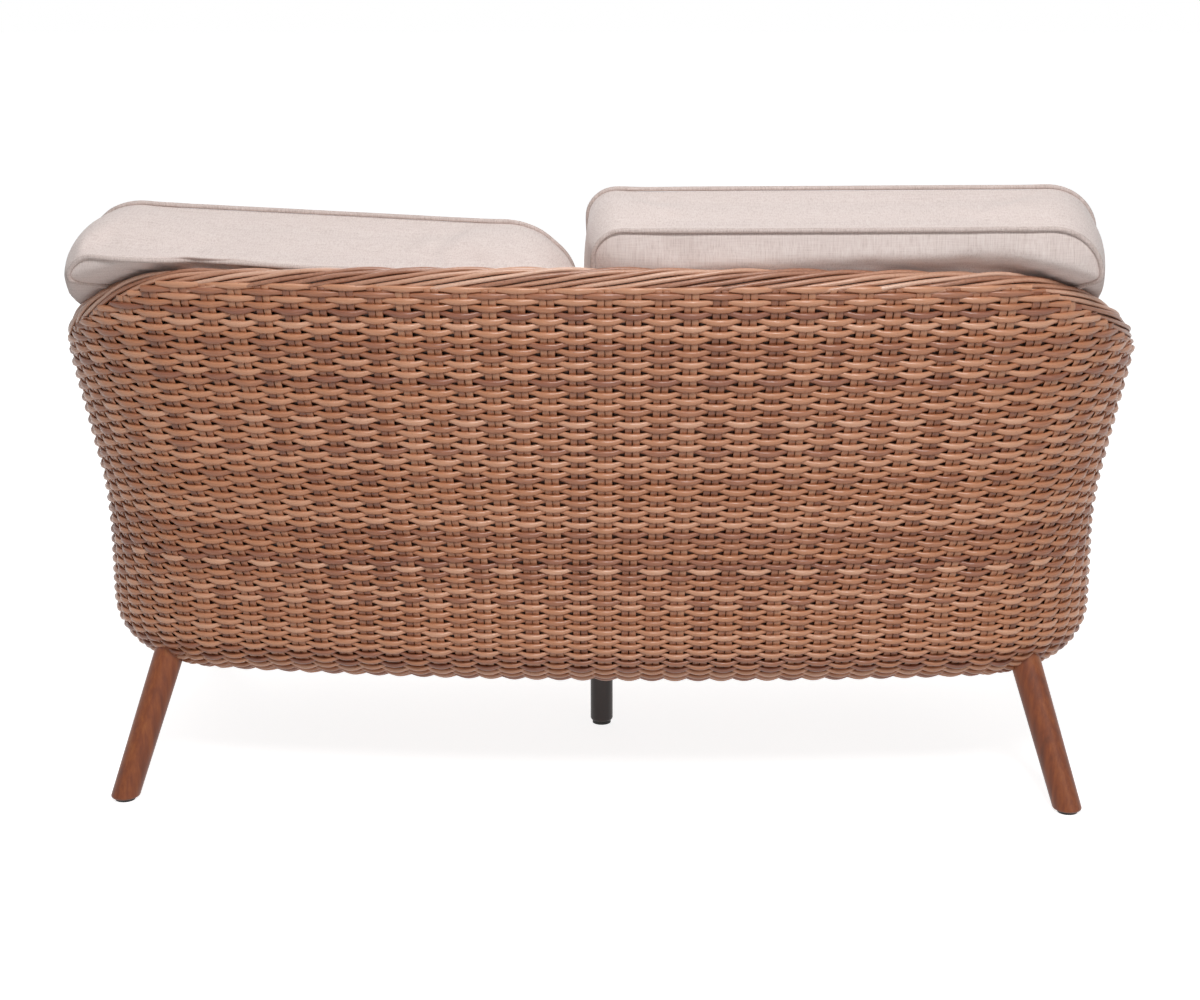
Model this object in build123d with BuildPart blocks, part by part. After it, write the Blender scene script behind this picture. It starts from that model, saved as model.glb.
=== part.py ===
from build123d import *

import os
from math import cos, radians, sin, sqrt, tan

# Patio loveseat: a woven tub on a welded tube frame, four splayed wooden legs, a centre leg
# and four loose cushions. Millimetres, +Z up, the front faces -Y, the sitter's left is +X.

# Plan of the shell, measured on its outer face at the height of the straight wall
half_width = 706.0
back_y = 350.0
front_y = -392.0
back_corner_radius = 205.0
back_bow_angle = 7.8
front_corner_radius = 90.0

# Heights above the floor
shell_bottom = 170.0
curl_radius = 80.0
lean_start = 400.0
lean_blend = 500.0
rim_height_back = 765.0
rim_height_side = 632.0
deck_top = 325.0

# How far the rim stands out past the straight wall
flare = 46.0

# Arm: slope steps along the rim, then the drop to the seat front
arm_bend_back = 90.0
arm_back_slope = 0.29
arm_slope = 0.12
arm_front_y = -186.0
arm_foot_y = -250.0
arm_knee_y = -226.0
arm_bend_radius = 300.0
arm_top_radius = 105.0
arm_knee_radius = 200.0
arm_foot_radius = 50.0

# The rail's bends are drawn a little tighter than the plan, so that two of them never meet
corner_turns = 3
corner_stations = 6
bend_share = 0.9

# Wall build-up
weave_thickness = 8.0
rail_diameter = 24.0
rail_wall = 2.0
post_diameter = 18.0
post_wall = 1.5
braid_diameter = 44.0
fit_gap = 0.3
weld_gap = 0.2
cavity_gap = 0.8
rim_drop = 6.0

# Seat support
deck_thickness = 8.0
seat_bar_spacing = 350.0
seat_rail_end_y = -212.0
base_ring_height = 235.0

# Posts: plan angles round the bow and the back corner, places along the arm and the front
bow_post_angles = (-6.0, -3.0, 0.0, 3.0, 6.0)
corner_post_angles = (22.0, 48.0, 74.0)
arm_post_spots = (50.0, -50.0, -150.0)
front_post_spots = (-350.0, 0.0, 350.0)

# Legs
leg_foot_inset_x = 46.0
leg_foot_inset_y = 20.0
leg_lean_x = 0.294
leg_lean_y = 0.40
leg_top_diameter = 43.0
leg_foot_diameter = 38.0
leg_foot_round = 3.0
centre_leg_diameter = 34.0
centre_leg_round = 5.0
glide_diameter = 28.0
glide_height = 4.0
plate_diameter = 50.0
plate_thickness = 5.0
bolt_diameter = 8.0
bolt_clearance = 0.3
bolt_depth = 35.0
bolt_stand = 10.0
leg_hole_gap = 3.0

# Cushions
cushion_split_x = 14.0
cushion_gap = 0.8
cushion_side_gap = 4.0
cushion_rim_gap = 15.0
cushion_rest_gap = 0.6
seat_cushion_thickness = 116.0
seat_cushion_front_y = -388.0
seat_cushion_radius = 45.0
seat_cushion_crown = 14.0
seat_cushion_draw = 6.0
back_cushion_thickness = 140.0
back_cushion_height = 404.0
back_cushion_width = 704.0
back_cushion_radius = 55.0
back_cushion_crown = 18.0
back_cushion_draw = 8.0
back_cushion_lean = 15.0
back_cushion_top_y = 350.0
right_cushion_top_z = 816.0
right_cushion_tilt = 0.5
left_cushion_top_z = 776.0
left_cushion_tilt = 2.8
left_cushion_gap = 8.0
seat_crown_insets = (0.0, 45.0, 115.0)
back_crown_inset_shares = (0.0, 0.111, 0.285)
crown_shares = (0.0, 0.68, 1.0)

# Worked-out sizes
cavity = rail_diameter + 2 * cavity_gap
wall = cavity + 2 * weave_thickness
rail_radius = rail_diameter / 2
braid_radius = braid_diameter / 2
post_radius = post_diameter / 2
corner_x = half_width - back_corner_radius
bow_angle = radians(back_bow_angle)
bow_radius = corner_x / sin(bow_angle) + back_corner_radius
bow_y = back_y - bow_radius
corner_y = bow_y + (bow_radius - back_corner_radius) * cos(bow_angle)
front_corner_x = half_width - front_corner_radius
front_corner_y = front_y + front_corner_radius
leg_foot_x = half_width - leg_foot_inset_x
leg_foot_y = back_y - leg_foot_inset_y
rail_back_z = rim_height_back - braid_radius
rail_side_z = rim_height_side - braid_radius
rail_front_z = deck_top - braid_radius
rail_front_y = front_y + wall / 2
curl_top = shell_bottom + curl_radius
arm_lean = flare / (rail_side_z - lean_start)
ring_inset = wall / 2 + post_radius + weld_gap + rail_radius
seat_ring_z = deck_top - deck_thickness - rail_radius
back_crown_insets = [back_cushion_height * share for share in back_crown_inset_shares]

os.makedirs("parts", exist_ok=True)


def save(name, label):
    name.part.label = label
    export_step(name.part, f"parts/{label}.step")


def corner_share(angle):
    """Share of the rim's drop still to come at a plan angle round the back corner."""
    return (cos(angle) + cos(angle) ** 2) / (cos(bow_angle) + cos(bow_angle) ** 2)


def corner_rail_z(angle):
    return rail_side_z + (rail_back_z - rail_side_z) * corner_share(angle)


def arm_lean_at(z):
    return arm_lean * max(z - lean_start, 0)


def outline(inset):
    """Closed plan outline of the shell, moved in from its outer face by an inset."""
    bow = bow_radius - inset
    turn = back_corner_radius - inset
    tip = front_corner_radius - inset
    half_turn = (bow_angle + radians(90)) / 2
    side_x = half_width - inset
    bow_end = (bow * sin(bow_angle), bow_y + bow * cos(bow_angle))
    turn_mid = (corner_x + turn * sin(half_turn), corner_y + turn * cos(half_turn))
    tip_mid = (front_corner_x + tip * sin(radians(45)), front_corner_y - tip * cos(radians(45)))
    with BuildLine() as path:
        ThreePointArc((-bow_end[0], bow_end[1]), (0, bow_y + bow), bow_end)
        ThreePointArc(bow_end, turn_mid, (side_x, corner_y))
        Line((side_x, corner_y), (side_x, front_corner_y))
        ThreePointArc((side_x, front_corner_y), tip_mid, (front_corner_x, front_y + inset))
        Line((front_corner_x, front_y + inset), (-front_corner_x, front_y + inset))
        ThreePointArc(
            (-front_corner_x, front_y + inset), (-tip_mid[0], tip_mid[1]), (-side_x, front_corner_y)
        )
        Line((-side_x, front_corner_y), (-side_x, corner_y))
        ThreePointArc((-side_x, corner_y), (-turn_mid[0], turn_mid[1]), (-bow_end[0], bow_end[1]))
    return path.wire()


def rim_points():
    """Corners and bend radii of the top rail's centre line, from the bow to the seat front."""
    inset = wall / 2
    turn = back_corner_radius + flare - inset
    bow = bow_radius + flare - inset
    step = (radians(90) - bow_angle) / corner_turns
    out = turn / cos(step / 2)
    points = [(bow * tan(bow_angle / 2), bow_y + bow, rail_back_z)]
    radii = [bow * bend_share]
    for index in range(corner_turns):
        angle = bow_angle + step * (index + 0.5)
        points.append((corner_x + out * sin(angle), corner_y + out * cos(angle), corner_rail_z(angle)))
        radii.append(turn * bend_share)
    arm_z = rail_side_z - arm_back_slope * arm_bend_back
    bend_y = corner_y - arm_bend_back
    front_z = arm_z - arm_slope * (bend_y - arm_front_y)
    side_x = half_width - inset
    points.append((side_x + arm_lean_at(arm_z), bend_y, arm_z))
    radii.append(arm_bend_radius)
    points.append((side_x + arm_lean_at(front_z), arm_front_y, front_z))
    radii.append(arm_top_radius)
    points.append((side_x, arm_knee_y, lean_start))
    radii.append(arm_knee_radius)
    points.append((side_x, arm_foot_y, rail_front_z))
    radii.append(arm_foot_radius)
    points.append((side_x, front_y + inset, rail_front_z))
    radii.append(front_corner_radius - inset)
    return points, radii


def span_middle(points, radii, index):
    """Middle of the straight left between the bends at two neighbouring corners."""
    before, start, end, after = (Vector(*points[index + k]) for k in (-1, 0, 1, 2))
    run = end - start
    used_start = radii[index] * tan(radians((start - before).get_angle(run)) / 2)
    used_end = radii[index + 1] * tan(radians(run.get_angle(after - end)) / 2)
    reach = (run.length + used_start - used_end) / 2
    return tuple(start + run.normalized() * reach)


def bent_tube(points, radii, outer_radius, inner_radius=0):
    """Round tube along straight runs joined by tangent bends."""
    with BuildPart() as tube:
        with BuildLine() as path:
            FilletPolyline(*points, radius=radii)
        start = path.wire() @ 0
        with BuildSketch(Plane(origin=start, z_dir=path.wire() % 0)):
            Circle(outer_radius)
            if inner_radius:
                Circle(inner_radius, mode=Mode.SUBTRACT)
        sweep(path=path.wire())
    return tube.part


left_points, left_radii = rim_points()
right_points = [(-x, y, z) for x, y, z in left_points]
loop_points = [right_points[0], *left_points, right_points[-1]]
loop_radii = [left_radii[0], *left_radii, left_radii[-1]]
joint_corner = span_middle(loop_points, loop_radii, 1)
joint_arm = span_middle(loop_points, loop_radii, 1 + corner_turns)
joint_front = span_middle(loop_points, loop_radii, len(left_points) - 1)
first_arm = 1 + corner_turns
rim_paths = {
    "back": (
        [(-joint_corner[0], *joint_corner[1:]), right_points[0], left_points[0], joint_corner],
        [left_radii[0]] * 2,
    ),
    "corner": ([joint_corner, *left_points[1:first_arm], joint_arm], left_radii[1:first_arm]),
    "arm": ([joint_arm, *left_points[first_arm:-1], joint_front], left_radii[first_arm:-1]),
    "front": (
        [joint_front, left_points[-1], right_points[-1], (-joint_front[0], *joint_front[1:])],
        [left_radii[-1]] * 2,
    ),
}
braids = {}
rails = {}
rail_cores = {}
seats = {}
for key, (points, radii) in rim_paths.items():
    braids[key] = bent_tube(points, radii, braid_radius, rail_radius + fit_gap)
    rails[key] = bent_tube(points, radii, rail_radius, rail_radius - rail_wall)
    rail_cores[key] = bent_tube(points, radii, rail_radius + weld_gap)
    seats[key] = bent_tube(points, radii, braid_radius + fit_gap)


def wall_band(face_at, inset, depth, lean, top, bottom=None):
    """Cross-section of one layer of the wall. face_at is the outer face's distance from the
    sketch origin, lean is the sideways step of the wall for each unit above lean_start."""
    near = face_at - inset
    far = near - depth
    centre = face_at - curl_radius
    step = lean * (top - lean_start)
    half = radians(45)
    with BuildSketch(Plane.XY) as band:
        with BuildLine():
            if top > lean_start:
                FilletPolyline(
                    (near, bottom or curl_top), (near, lean_start), (near + step, top), radius=lean_blend
                )
                Line((near + step, top), (far + step, top))
                FilletPolyline(
                    (far + step, top), (far, lean_start), (far, bottom or curl_top), radius=lean_blend
                )
            else:
                Line((near, curl_top), (near, top))
                Line((near, top), (far, top))
                Line((far, top), (far, curl_top))
            if bottom:
                Line((far, bottom), (near, bottom))
            else:
                outer = curl_radius - inset
                inner = outer - depth
                ThreePointArc(
                    (far, curl_top),
                    (centre + inner * cos(half), curl_top - inner * sin(half)),
                    (centre, curl_top - inner),
                )
                Line((centre, curl_top - inner), (centre, curl_top - outer))
                ThreePointArc(
                    (centre, curl_top - outer),
                    (centre + outer * cos(half), curl_top - outer * sin(half)),
                    (near, curl_top),
                )
        make_face()
    return band.sketch


def radial_plane(x, y, angle):
    """Upright plane whose x axis points outwards from a corner's centre."""
    out = Vector(sin(angle), cos(angle), 0)
    return Plane(origin=(x, y, 0), x_dir=out, z_dir=out.cross(Vector(0, 0, 1)))


def back_wall(inset, depth, rise=0, bottom=None):
    """Layer of the bowed back, between the two back corners."""
    lean = flare / (rail_back_z - lean_start)
    start = radial_plane(0, bow_y, -bow_angle)
    with BuildPart() as layer:
        with BuildSketch(start):
            add(wall_band(bow_radius, inset, depth, lean, rail_back_z + rise, bottom))
        revolve(axis=Axis((0, bow_y, 0), (0, 0, -1)), revolution_arc=2 * back_bow_angle)
    return layer.part


def corner_wall(inset, depth, rise=0, bottom=None):
    """Layer of the left back corner, lofted round while the rim drops."""
    with BuildPart() as layer:
        for index in range(corner_stations + 1):
            angle = bow_angle + (radians(90) - bow_angle) * index / corner_stations
            rail_z = corner_rail_z(angle)
            lean = flare / (rail_z - lean_start)
            with BuildSketch(radial_plane(corner_x, corner_y, angle)):
                add(wall_band(back_corner_radius, inset, depth, lean, rail_z + rise, bottom))
        loft()
    return layer.part


def arm_wall(inset, depth, rise=0, bottom=None):
    """Layer of the left arm, a straight wall up to the height of the rim at the corner."""
    with BuildPart() as layer:
        with BuildSketch(radial_plane(0, corner_y, radians(90))):
            add(wall_band(half_width, inset, depth, arm_lean, rail_side_z + rise, bottom))
        extrude(amount=corner_y - front_corner_y)
    return layer.part


def above_rim(top):
    """Everything over and in front of the left arm's rim, as a block along X."""
    points, radii = rim_paths["arm"]
    start = joint_arm[2] + arm_back_slope * (corner_y - joint_arm[1])
    side = [(corner_y, start)] + [(y, z) for x, y, z in points[1:]]
    with BuildPart() as block:
        with BuildSketch(Plane(origin=(corner_x, 0, -rim_drop), x_dir=(0, 1, 0), z_dir=(1, 0, 0))):
            with BuildLine():
                FilletPolyline(*side, radius=radii)
                Polyline(side[-1], (front_y, rail_front_z), (front_y, top), (corner_y, top), side[0])
            make_face()
        extrude(amount=back_corner_radius + flare + braid_diameter)
    return block.part


def low_front(inset, depth):
    """Layer of the left front corner of the seat front."""
    with BuildPart() as corner:
        with BuildSketch(radial_plane(front_corner_x, front_corner_y, radians(90))):
            add(wall_band(front_corner_radius, inset, depth, 0, rail_front_z - rim_drop))
        turn_axis = Axis((front_corner_x, front_corner_y, 0), (0, 0, -1))
        revolve(axis=turn_axis, revolution_arc=90)
    return corner.part


def largest(shape):
    return shape.solids().sort_by(SortBy.VOLUME)[-1]


def hollowed(layer, *solids):
    """Wall layer with the room for the border taken out, without the slivers over the rim."""
    for solid in solids:
        layer = largest(layer - solid)
    return layer


# Legs: tapered round wood, splayed outwards, cut level at the plate and at the foot
leg_top_z = base_ring_height - rail_radius - plate_thickness
rise = leg_top_z - glide_height


def leg_point(z):
    return (leg_foot_x - leg_lean_x * z, leg_foot_y - leg_lean_y * z, z)


def splayed_leg(margin=0, overrun=0):
    """Rear left leg; a margin makes the clearance hole that it needs in the weave."""
    foot = Vector(*leg_point(glide_height))
    top = Vector(*leg_point(leg_top_z))
    run = (top - foot).normalized()
    spread = leg_top_diameter * (leg_lean_x + leg_lean_y)
    with BuildPart() as leg:
        with BuildSketch(Plane(origin=foot - run * spread, z_dir=run)):
            Circle(leg_foot_diameter / 2 + margin)
        with BuildSketch(Plane(origin=top + run * spread, z_dir=run)):
            Circle(leg_top_diameter / 2 + margin)
        loft()
        with BuildSketch(Plane.XY.offset(glide_height - overrun)):
            Rectangle(4 * leg_foot_x, 4 * leg_foot_x)
        extrude(amount=rise + 2 * overrun, mode=Mode.INTERSECT)
        if not margin:
            fillet(leg.faces().sort_by(Axis.Z)[0].edges(), leg_foot_round)
    return leg.part


bolt_length = bolt_depth + plate_thickness + bolt_stand
leg_top_at = leg_point(leg_top_z)
leg_spots = [(x, y) for x in (leg_top_at[0], -leg_top_at[0]) for y in (leg_top_at[1], -leg_top_at[1])]
bolt_spots = leg_spots + [(0, 0)]
with BuildPart() as leg_bolts:
    with Locations(*[(x, y, leg_top_z - bolt_depth) for x, y in bolt_spots]):
        Cylinder(bolt_diameter / 2, bolt_length, align=(Align.CENTER, Align.CENTER, Align.MIN))
with BuildPart() as bolt_holes:
    with Locations(*[(x, y, leg_top_z - bolt_depth - bolt_clearance) for x, y in bolt_spots]):
        Cylinder(
            bolt_diameter / 2 + bolt_clearance,
            bolt_length + bolt_clearance,
            align=(Align.CENTER, Align.CENTER, Align.MIN),
        )
with BuildPart() as leg_rear_left:
    add(splayed_leg())
    add(bolt_holes.part, mode=Mode.SUBTRACT)
with BuildPart() as leg_front_left:
    add(splayed_leg().mirror(Plane.XZ))
    add(bolt_holes.part, mode=Mode.SUBTRACT)
with BuildPart() as centre_leg:
    with Locations((0, 0, glide_height)):
        Cylinder(centre_leg_diameter / 2, rise, align=(Align.CENTER, Align.CENTER, Align.MIN))
    fillet(centre_leg.faces().sort_by(Axis.Z)[0].edges(), centre_leg_round)
    add(bolt_holes.part, mode=Mode.SUBTRACT)
with BuildPart() as leg_plates:
    with Locations(*[(x, y, leg_top_z) for x, y in bolt_spots]):
        Cylinder(
            plate_diameter / 2, plate_thickness, align=(Align.CENTER, Align.CENTER, Align.MIN)
        )
    add(bolt_holes.part, mode=Mode.SUBTRACT)
foot_at = leg_point(glide_height)
glide_spots = [(x, y) for x in (foot_at[0], -foot_at[0]) for y in (foot_at[1], -foot_at[1])] + [(0, 0)]
with BuildPart() as foot_glides:
    with Locations(*glide_spots):
        Cylinder(glide_diameter / 2, glide_height, align=(Align.CENTER, Align.CENTER, Align.MIN))

# Woven skins: the outer one runs from the curled bottom edge up to the rim, the inner one
# from the deck up to the rim. Their top edges are hollowed to take the round border, also
# where a neighbour's border reaches in, and the curled bottom edge is cut away where the legs
# pass.
inner_inset = wall - weave_thickness
corner_seats = (seats["corner"], seats["corner"].mirror(Plane.YZ))
with BuildPart() as outer_back:
    add(hollowed(back_wall(0, weave_thickness, -rim_drop), seats["back"], *corner_seats))
with BuildPart() as inner_back:
    layer = back_wall(inner_inset, weave_thickness, -rim_drop, deck_top)
    add(hollowed(layer, seats["back"], *corner_seats))
leg_notch = splayed_leg(leg_hole_gap, plate_thickness)
with BuildPart() as outer_corner_left:
    layer = corner_wall(0, weave_thickness, -rim_drop)
    add(hollowed(layer, seats["corner"], seats["back"], seats["arm"]))
    add(leg_notch, mode=Mode.SUBTRACT)
with BuildPart() as inner_corner_left:
    layer = corner_wall(inner_inset, weave_thickness, -rim_drop, deck_top)
    add(hollowed(layer, seats["corner"], seats["back"], seats["arm"]))
over_arm = above_rim(rail_back_z)
with BuildPart() as outer_arm_left:
    layer = arm_wall(0, weave_thickness)
    add(hollowed(layer, over_arm, seats["arm"], seats["front"], seats["corner"]))
    add(leg_notch.mirror(Plane.XZ), mode=Mode.SUBTRACT)
with BuildPart() as inner_arm_left:
    layer = arm_wall(inner_inset, weave_thickness, 0, deck_top)
    add(hollowed(layer, over_arm, seats["arm"], seats["corner"]))
with BuildPart() as front_corner_left:
    add(low_front(0, weave_thickness) - seats["front"])
with BuildPart() as front_apron:
    with BuildSketch(Plane(origin=(front_corner_x, 0, 0), x_dir=(0, -1, 0), z_dir=(-1, 0, 0))):
        add(wall_band(-front_y, 0, weave_thickness, 0, rail_front_z - rim_drop))
    extrude(amount=2 * front_corner_x)
    add(seats["front"], mode=Mode.SUBTRACT)


def straight_tube(start, end, outer_radius, inner_radius=0):
    axis = Plane(origin=start, z_dir=Vector(*end) - Vector(*start))
    with BuildPart() as tube:
        with BuildSketch(axis):
            Circle(outer_radius)
            if inner_radius:
                Circle(inner_radius, mode=Mode.SUBTRACT)
        extrude(amount=(Vector(*end) - Vector(*start)).length)
    return tube.part


def wall_post(plane, face_at, lean, top, radius, inner_radius=0):
    """Post along the middle of the wall, from beside the base ring up to the rail."""
    middle = face_at - wall / 2
    with BuildPart() as post:
        with BuildLine(plane) as path:
            FilletPolyline(
                (middle, base_ring_height),
                (middle, lean_start),
                (middle + lean * (top - lean_start), top),
                radius=lean_blend,
            )
        with BuildSketch(Plane(origin=path.wire() @ 0, z_dir=path.wire() % 0)):
            Circle(radius)
            if inner_radius:
                Circle(inner_radius, mode=Mode.SUBTRACT)
        sweep(path=path.wire())
    return post.part


def back_post_tubes(radius, inner_radius=0):
    lean = flare / (rail_back_z - lean_start)
    return [
        wall_post(
            radial_plane(0, bow_y, radians(angle)), bow_radius, lean, rail_back_z, radius, inner_radius
        )
        for angle in bow_post_angles
    ]


def corner_post_tubes(radius, inner_radius=0):
    posts = []
    for angle in corner_post_angles:
        top = corner_rail_z(radians(angle))
        plane = radial_plane(corner_x, corner_y, radians(angle))
        lean = flare / (top - lean_start)
        posts.append(wall_post(plane, back_corner_radius, lean, top, radius, inner_radius))
    return posts


def arm_post_tubes(radius, inner_radius=0):
    posts = []
    for y in arm_post_spots:
        plane = radial_plane(0, y, radians(90))
        post = wall_post(plane, half_width, arm_lean, rail_side_z, radius, inner_radius)
        posts.append(largest(post - over_arm))
    return posts


def front_post_tubes(radius, inner_radius=0):
    return [
        straight_tube(
            (x, rail_front_y, base_ring_height), (x, rail_front_y, rail_front_z), radius, inner_radius
        )
        for x in front_post_spots
    ]


post_bore = post_radius - post_wall
post_hole = post_radius + weld_gap
with BuildPart() as back_posts:
    for post in back_post_tubes(post_radius, post_bore):
        add(largest(post - rail_cores["back"]))
with BuildPart() as corner_posts:
    for post in corner_post_tubes(post_radius, post_bore):
        add(largest(post - rail_cores["corner"]))
    mirror(about=Plane.YZ)
with BuildPart() as arm_posts:
    for post in arm_post_tubes(post_radius, post_bore):
        add(largest(post - rail_cores["arm"]))
    mirror(about=Plane.YZ)
with BuildPart() as front_posts:
    for post in front_post_tubes(post_radius, post_bore):
        add(largest(post - rail_cores["front"]))


def ring_tube(inset, height, outer_radius, inner_radius=0):
    """Closed ring tube that follows the plan outline."""
    path = outline(inset).moved(Location((0, 0, height)))
    with BuildPart() as ring:
        with BuildSketch(Plane(origin=path @ 0, z_dir=path % 0)):
            Circle(outer_radius)
            if inner_radius:
                Circle(inner_radius, mode=Mode.SUBTRACT)
        sweep(path=path)
    return ring.part


bore = rail_radius - rail_wall
hold = rail_radius + weld_gap
base_ring_core = ring_tube(ring_inset, base_ring_height, hold)
seat_ring_core = ring_tube(ring_inset, seat_ring_z, hold)
with BuildPart() as base_ring:
    add(ring_tube(ring_inset, base_ring_height, rail_radius, bore))
    add(bolt_holes.part, mode=Mode.SUBTRACT)
with BuildPart() as seat_rail:
    add(ring_tube(ring_inset, seat_ring_z, rail_radius, bore))
    with Locations((0, seat_rail_end_y, seat_ring_z)):
        Box(
            4 * half_width, half_width, rail_diameter * 2,
            align=(Align.CENTER, Align.MAX, Align.CENTER), mode=Mode.SUBTRACT,
        )


def cross_bar(x, height, front_end, cores):
    """Front-to-back tube between two rails, coped to their round sides."""
    bar = straight_tube((x, front_end, height), (x, back_y, height), rail_radius, bore)
    for core in cores:
        bar = bar - core
    return largest(bar)


seat_bar_spots = (-seat_bar_spacing, 0, seat_bar_spacing)
with BuildPart() as seat_bars:
    for x in seat_bar_spots:
        add(cross_bar(x, seat_ring_z, rail_front_y, (rail_cores["front"], seat_ring_core)))
with BuildPart() as base_bars:
    for x in (-leg_top_at[0], 0, leg_top_at[0]):
        add(cross_bar(x, base_ring_height, front_y, (base_ring_core,)))
    add(bolt_holes.part, mode=Mode.SUBTRACT)

# Holes in the border where posts and seat bars run through to the rail
with BuildPart() as rim_border_back:
    add(braids["back"])
    for post in back_post_tubes(post_hole):
        add(post, mode=Mode.SUBTRACT)
with BuildPart() as rim_border_corner_left:
    add(braids["corner"])
    for post in corner_post_tubes(post_hole):
        add(post, mode=Mode.SUBTRACT)
with BuildPart() as rim_border_arm_left:
    add(braids["arm"])
    for post in arm_post_tubes(post_hole):
        add(post, mode=Mode.SUBTRACT)
with BuildPart() as rim_border_front:
    add(braids["front"])
    for post in front_post_tubes(post_hole):
        add(post, mode=Mode.SUBTRACT)
    for x in seat_bar_spots:
        end = rail_front_y + 2 * braid_radius
        hole = straight_tube((x, rail_front_y, seat_ring_z), (x, end, seat_ring_z), hold)
        add(hole, mode=Mode.SUBTRACT)
with BuildPart() as top_rail:
    for key in ("corner", "arm"):
        add(rails[key])
        add(rails[key].mirror(Plane.YZ))
    add(rails["back"])
    add(rails["front"])
with BuildPart() as seat_deck:
    with BuildSketch(Plane.XY.offset(deck_top - deck_thickness)):
        with BuildLine():
            add(outline(inner_inset))
        make_face()
    extrude(amount=deck_thickness)
    for seat in (seats["front"], seats["arm"], seats["arm"].mirror(Plane.YZ)):
        add(seat, mode=Mode.SUBTRACT)


# Cushions: the sides bow out between the two seam lines, each panel crowns over its seam line
seat_cushion_base = deck_top + fit_gap
seat_cushion_seam = seat_cushion_base + seat_cushion_thickness
seat_cushion_top = seat_cushion_seam + seat_cushion_crown


def seat_face(inset, height):
    """Plan of the left seat cushion, moved in from its widest line by an inset."""
    gap = wall + cushion_side_gap + inset
    inner_x = cushion_split_x + cushion_gap / 2 + inset
    side_x = half_width - gap
    near_y = seat_cushion_front_y + inset
    bow = bow_radius - gap
    turn = back_corner_radius - gap
    half_turn = (bow_angle + radians(90)) / 2
    bow_end = (bow * sin(bow_angle), bow_y + bow * cos(bow_angle))
    turn_mid = (corner_x + turn * sin(half_turn), corner_y + turn * cos(half_turn))
    mid_x = (inner_x + bow_end[0]) / 2
    with BuildSketch(Plane.XY.offset(height)) as face:
        with BuildLine():
            Line((inner_x, near_y), (side_x, near_y))
            Line((side_x, near_y), (side_x, corner_y))
            ThreePointArc((side_x, corner_y), turn_mid, bow_end)
            ThreePointArc(
                bow_end,
                (mid_x, bow_y + sqrt(bow ** 2 - mid_x ** 2)),
                (inner_x, bow_y + sqrt(bow ** 2 - inner_x ** 2)),
            )
            Line((inner_x, bow_y + sqrt(bow ** 2 - inner_x ** 2)), (inner_x, near_y))
        make_face()
        sharp = [v for v in face.vertices() if v.X < inner_x + fit_gap or v.Y < near_y + fit_gap]
        fillet(sharp, seat_cushion_radius)
    return face.sketch.face()


def crown_layers(insets, seam, crown, draw):
    """Inset and height of each step of a crowned panel over its seam line."""
    return [(draw + inset, seam + crown * share) for inset, share in zip(insets, crown_shares)]


with BuildPart() as seat_cushion_left:
    middle = (seat_cushion_base + seat_cushion_seam) / 2
    edges = ((seat_cushion_draw, seat_cushion_base), (0, middle), (seat_cushion_draw, seat_cushion_seam))
    loft([seat_face(inset, height) for inset, height in edges])
    domed = crown_layers(seat_crown_insets, seat_cushion_seam, seat_cushion_crown, seat_cushion_draw)
    loft([seat_face(inset, height) for inset, height in domed])
with BuildPart() as seat_cushion_right:
    with Locations((2 * cushion_split_x, 0, 0)):
        add(seat_cushion_left.part.mirror(Plane.YZ))

# Room that the shell leaves for the back cushions, inside the border and the leaning wall
reach = flare + braid_diameter
room_depth = reach + wall + cushion_rim_gap
room_inset = wall / 2 - flare + braid_radius + cushion_rim_gap
corner_room = corner_wall(-reach, room_depth, -rim_drop, deck_top)
shell_keep_out = [
    back_wall(-reach, room_depth, -rim_drop, deck_top),
    corner_room,
    corner_room.mirror(Plane.YZ),
]


def back_face(plane, inset, depth):
    """Outline of a back cushion parallel to its panels, moved in from its widest line."""
    width = back_cushion_width - 2 * inset
    height = back_cushion_height - 2 * inset
    drop = back_cushion_draw - back_cushion_height / 2
    with BuildSketch(plane.offset(depth)) as face:
        with Locations((0, drop)):
            RectangleRounded(width, height, back_cushion_radius)
    return face.sketch.face()


def back_cushion(middle_x, top_z, tilt):
    """Back cushion leaning on the shell. The plane runs along the rear panel's top seam line."""
    lean = radians(back_cushion_lean)
    forward = Vector(0, -cos(lean), sin(lean))
    plane = Plane(
        origin=(middle_x, back_cushion_top_y, top_z),
        x_dir=(cos(radians(tilt)), 0, sin(radians(tilt))),
        z_dir=forward.rotate(Axis.Y, -tilt),
    )
    draw = back_cushion_draw
    deep = back_cushion_thickness
    with BuildPart() as cushion:
        loft([back_face(plane, inset, depth) for inset, depth in ((draw, 0), (0, deep / 2), (draw, deep))])
        for seam, crown in ((deep, back_cushion_crown), (0, -back_cushion_crown)):
            loft([back_face(plane, *layer) for layer in crown_layers(back_crown_insets, seam, crown, draw)])
        with BuildSketch(Plane.XY.offset(seat_cushion_top + cushion_rest_gap)):
            with BuildLine():
                add(outline(room_inset))
            make_face()
        extrude(amount=rim_height_back, mode=Mode.INTERSECT)
        for solid in shell_keep_out:
            add(solid, mode=Mode.SUBTRACT)
    return largest(cushion.part)


with BuildPart() as back_cushion_right:
    inner_x = cushion_split_x - cushion_gap / 2
    add(back_cushion(inner_x - back_cushion_width / 2, right_cushion_top_z, -right_cushion_tilt))
with BuildPart() as back_cushion_left:
    inner_x = cushion_split_x + left_cushion_gap
    add(back_cushion(inner_x + back_cushion_width / 2, left_cushion_top_z, left_cushion_tilt))

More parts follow.
